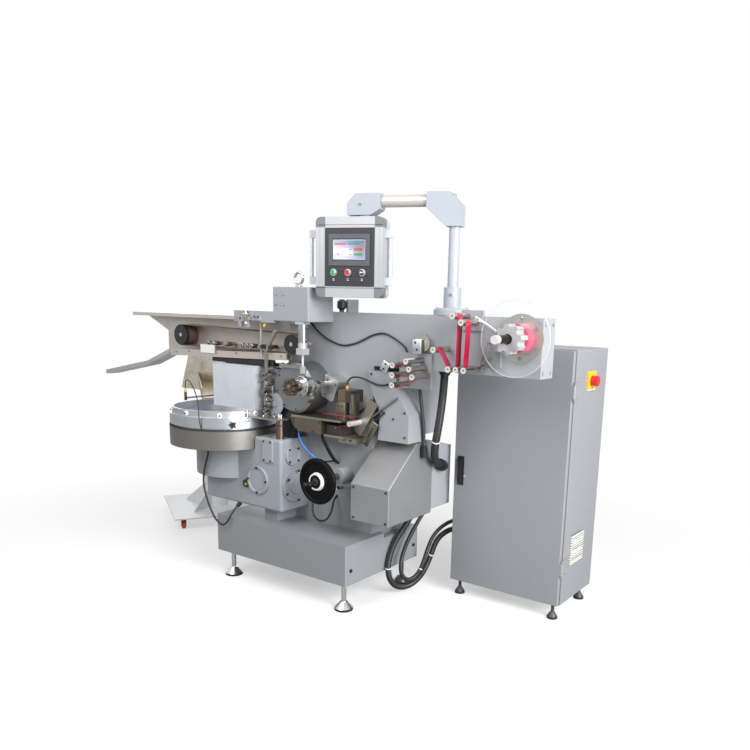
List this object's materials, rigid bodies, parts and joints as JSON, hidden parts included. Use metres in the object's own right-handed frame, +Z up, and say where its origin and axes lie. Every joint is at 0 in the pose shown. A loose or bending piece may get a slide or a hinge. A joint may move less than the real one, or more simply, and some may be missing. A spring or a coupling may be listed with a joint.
{
  "type": "candy twist wrapping machine",
  "caption": "Candy twist wrapping machine with a feeding disc, conveyor, film reel, operator panel on an arm and a separate electric cabinet.",
  "frame": {"origin": "under the middle of the front left levelling foot of the base frame, on the floor", "axes": "+X to the right along the machine's front, +Y towards its back, +Z up"},
  "size_m": [3.142, 1.414, 1.93],
  "materials": {
    "grey_paint": "satin grey paint",
    "cast_grey": "satin grey paint on a casting",
    "light_paint": "light blue-grey powder coat",
    "white_paint": "white paint",
    "brushed_steel": "brushed stainless steel",
    "bright_steel": "bright stainless sheet",
    "chromed_steel": "bright chromed steel",
    "aluminium_body": "anodised aluminium",
    "brass_steel": "tan ground steel",
    "white_plastic": "white engineering plastic",
    "black_plastic": "black moulded plastic",
    "light_plastic": "light grey plastic",
    "red_plastic": "red plastic",
    "pink_film": "glossy wrapping film",
    "clear_plastic": "clear acrylic disc",
    "brown_rubber": "brown rubber lagging",
    "black_rubber": "black rubber",
    "belt_rubber": "dark belt",
    "button_colours": "green, red and black buttons",
    "caster_parts": "black castor with an orange tread"
  },
  "bodies": {
    "frame": {"air_cylinder": "aluminium_body", "base_frame": "grey_paint", "cabinet_body": "grey_paint", "cabinet_feet": "black_plastic", "cabinet_fittings": "light_plastic", "cable_glands": "black_plastic", "casting_covers": "cast_grey", "conveyor_bar": "white_plastic", "conveyor_belt": "belt_rubber", "conveyor_fittings": "brushed_steel", "conveyor_plate": "brushed_steel", "discharge_slide": "white_paint", "eye_bolt": "chromed_steel", "feed_bowl": "bright_steel", "feed_deck": "bright_steel", "feed_drum": "brushed_steel", "feed_ring": "white_plastic", "feed_tray": "brushed_steel", "feeder_stand": "white_paint", "film_guide": "brushed_steel", "film_rollers": "brushed_steel", "film_web": "pink_film", "floor_conduit_a": "black_rubber", "floor_conduit_b": "black_rubber", "gearbox_casting": "cast_grey", "guard_cover": "bright_steel", "hanging_conduit": "black_rubber", "head_housing": "brushed_steel", "head_linkage": "brushed_steel", "hopper": "brushed_steel", "knife_housing": "brass_steel", "levelling_feet": "chromed_steel", "main_column": "grey_paint", "outlet_cover": "grey_paint", "outlet_hood": "grey_paint", "panel_post": "light_paint", "pusher_arm": "brushed_steel", "rear_covers": "grey_paint", "sensor_cables": "black_rubber", "side_conduit": "black_rubber", "stand_casters": "caster_parts", "top_beam": "grey_paint", "upper_housing": "grey_paint"},
    "cabinet_door": {"cabinet_door": "grey_paint", "door_handle": "black_plastic"},
    "door_lever": {"handle_lever": "black_plastic"},
    "main_switch": {"switch_knob": "red_plastic"},
    "handwheel": {"handwheel": "black_plastic"},
    "film_reel": {"reel_disc": "brushed_steel", "film_roll": "pink_film", "clear_disc": "clear_plastic", "reel_knob": "white_plastic"},
    "gripper_rotor": {"gripper_rotor": "chromed_steel"},
    "panel_arm": {"panel_arm": "light_paint"},
    "operator_panel": {"panel_housing": "aluminium_body", "panel_keypad": "black_plastic", "panel_buttons": "button_colours", "panel_handles": "aluminium_body"},
    "left_pulley": {"left_pulley": "brown_rubber"},
    "right_pulley": {"right_pulley": "black_rubber"}
  },
  "joints": [
    {"name": "cabinet_door_hinge", "type": "hinge", "parent": "frame", "child": "cabinet_door", "pos_m": [1.6665, 0.5125, 0.645], "axis": [0, 0, 1], "range_deg": [0, 16]},
    {"name": "door_lever_pivot", "type": "hinge", "parent": "cabinet_door", "child": "door_lever", "pos_m": [1.1045, 0.4932, 0.708], "axis": [-1, 0, 0], "range_deg": [0, 45]},
    {"name": "main_switch_turn", "type": "hinge", "parent": "frame", "child": "main_switch", "pos_m": [1.6685, 0.7085, 1.13], "axis": [1, 0, 0], "range_deg": [0, 90]},
    {"name": "handwheel_turn", "type": "hinge", "parent": "frame", "child": "handwheel", "pos_m": [0.642, -0.038, 0.622], "axis": [0, 1, 0], "continuous": true},
    {"name": "film_reel_turn", "type": "hinge", "parent": "frame", "child": "film_reel", "pos_m": [1.568, 0.164, 1.327], "axis": [0, 1, 0], "continuous": true},
    {"name": "gripper_rotor_turn", "type": "hinge", "parent": "frame", "child": "gripper_rotor", "pos_m": [0.514, -0.018, 1.062], "axis": [0, 1, 0], "continuous": true},
    {"name": "panel_arm_swing", "type": "hinge", "parent": "frame", "child": "panel_arm", "pos_m": [1.17, 0.26, 1.787], "axis": [0, 0, 1], "range_deg": [0, 90]},
    {"name": "operator_panel_turn", "type": "hinge", "parent": "panel_arm", "child": "operator_panel", "pos_m": [0.77473, 0.13689, 1.837], "axis": [0, 0, 1], "range_deg": [-90, 90]},
    {"name": "left_pulley_turn", "type": "hinge", "parent": "frame", "child": "left_pulley", "pos_m": [-0.44, 0.123, 1.262], "axis": [0, 1, 0], "continuous": true},
    {"name": "right_pulley_turn", "type": "hinge", "parent": "frame", "child": "right_pulley", "pos_m": [0.391, 0.123, 1.25], "axis": [0, 1, 0], "continuous": true}
  ],
  "couplings": [
    {"joint": "right_pulley_turn", "follows": "left_pulley_turn", "ratio": 1.1728}
  ]
}
